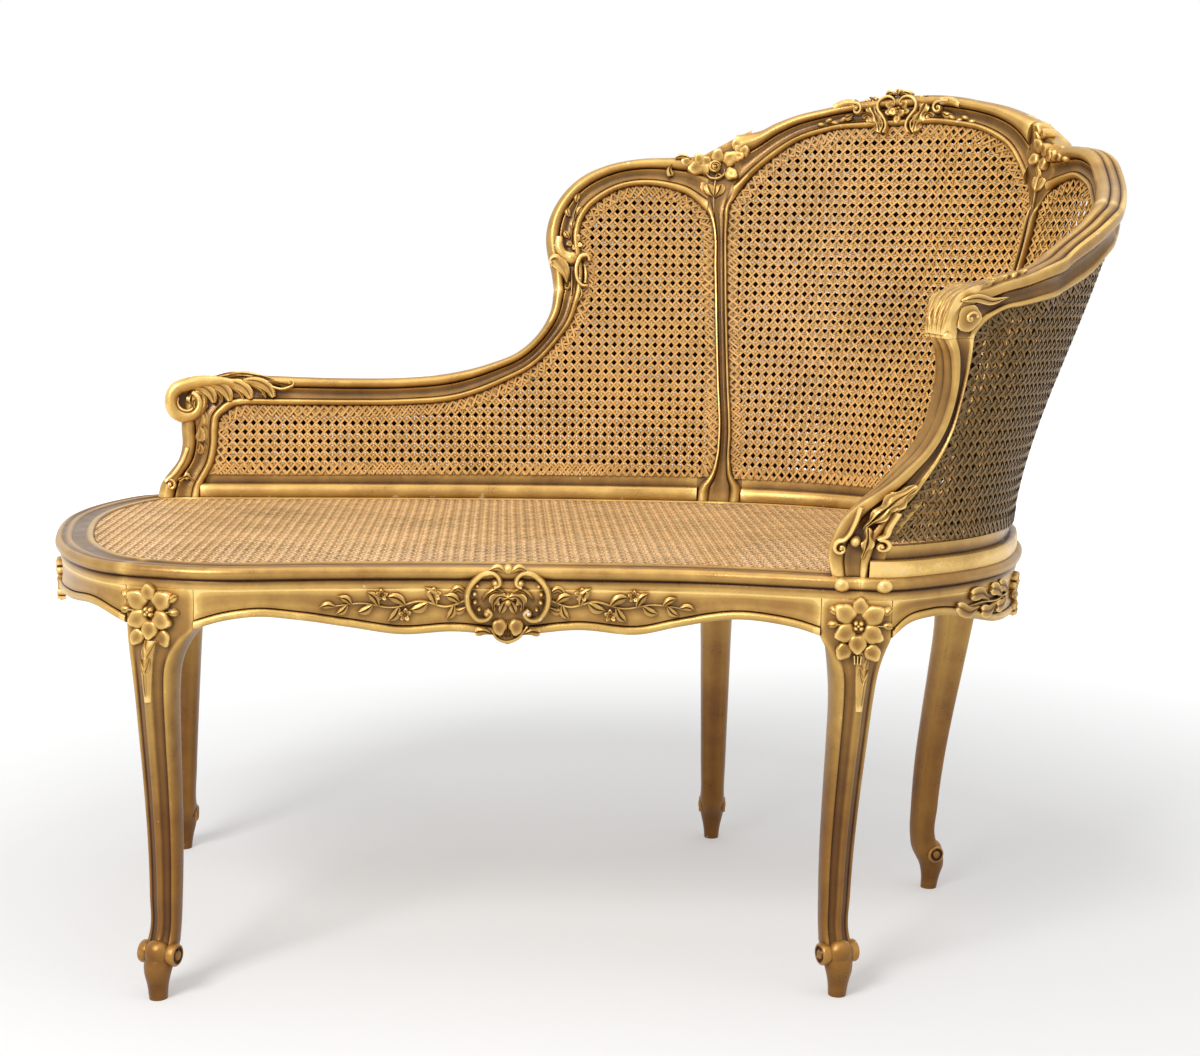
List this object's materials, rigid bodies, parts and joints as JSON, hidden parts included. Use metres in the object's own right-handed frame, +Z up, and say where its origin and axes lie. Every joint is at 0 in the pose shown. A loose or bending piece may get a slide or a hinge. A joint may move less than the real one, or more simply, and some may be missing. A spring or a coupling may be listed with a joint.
{
  "type": "cane bench",
  "caption": "Recamier-style cane bench with five cabriole legs, carved gilt frame, woven cane seat and a wrap-round caned back that drops to a low arm.",
  "frame": {"origin": "centre of the bounding box on the floor", "axes": "+Z up, +Y towards the rear of the bench, +X towards the end with the high back, seen by the sitter's front as right"},
  "size_m": [1.1386, 0.6774, 0.9281],
  "materials": {
    "gilt_wood": "antique gilding over carved wood, rubbed, satin",
    "cane": "woven natural rattan cane, satin",
    "plain_wood": "bare beech, matte"
  },
  "bodies": {
    "root": {"apron_cartouche": "gilt_wood", "apron_dowels": "plain_wood", "apron_front": "gilt_wood", "apron_left_end": "gilt_wood", "apron_rear_left": "gilt_wood", "apron_rear_right": "gilt_wood", "apron_right_end": "gilt_wood", "apron_spray_left": "gilt_wood", "apron_spray_right": "gilt_wood", "arm_foot_leaf": "gilt_wood", "arm_post": "gilt_wood", "arm_rail": "gilt_wood", "arm_scroll_leaf": "gilt_wood", "back_dowels": "plain_wood", "back_post_left": "gilt_wood", "back_rail_centre": "gilt_wood", "back_rail_left": "gilt_wood", "back_rail_right": "gilt_wood", "centre_panel_cane_inner": "cane", "centre_panel_cane_outer": "cane", "corner_blocks": "plain_wood", "crest_cartouche": "gilt_wood", "crest_rail": "gilt_wood", "crest_rail_right": "gilt_wood", "end_cartouche_left": "gilt_wood", "end_cartouche_right": "gilt_wood", "end_spray": "gilt_wood", "knee_flower_left": "gilt_wood", "knee_flower_right": "gilt_wood", "left_panel_cane_inner": "cane", "left_panel_cane_outer": "cane", "leg_front_left": "gilt_wood", "leg_front_right": "gilt_wood", "leg_rear_left": "gilt_wood", "leg_rear_middle": "gilt_wood", "leg_rear_right": "gilt_wood", "low_arm_rail": "gilt_wood", "right_panel_cane_inner": "cane", "right_panel_cane_outer": "cane", "seat_cane": "cane", "seat_frame_front": "gilt_wood", "seat_frame_left": "gilt_wood", "seat_frame_rear_left": "gilt_wood", "seat_frame_rear_right": "gilt_wood", "seat_frame_right": "gilt_wood", "shoulder_leaf": "gilt_wood", "shoulder_rail": "gilt_wood", "stile_flowers_left": "gilt_wood", "stile_flowers_right": "gilt_wood", "stile_left": "gilt_wood", "stile_right": "gilt_wood", "tenon_pegs": "plain_wood", "volute_leaf": "gilt_wood"}
  },
  "joints": []
}
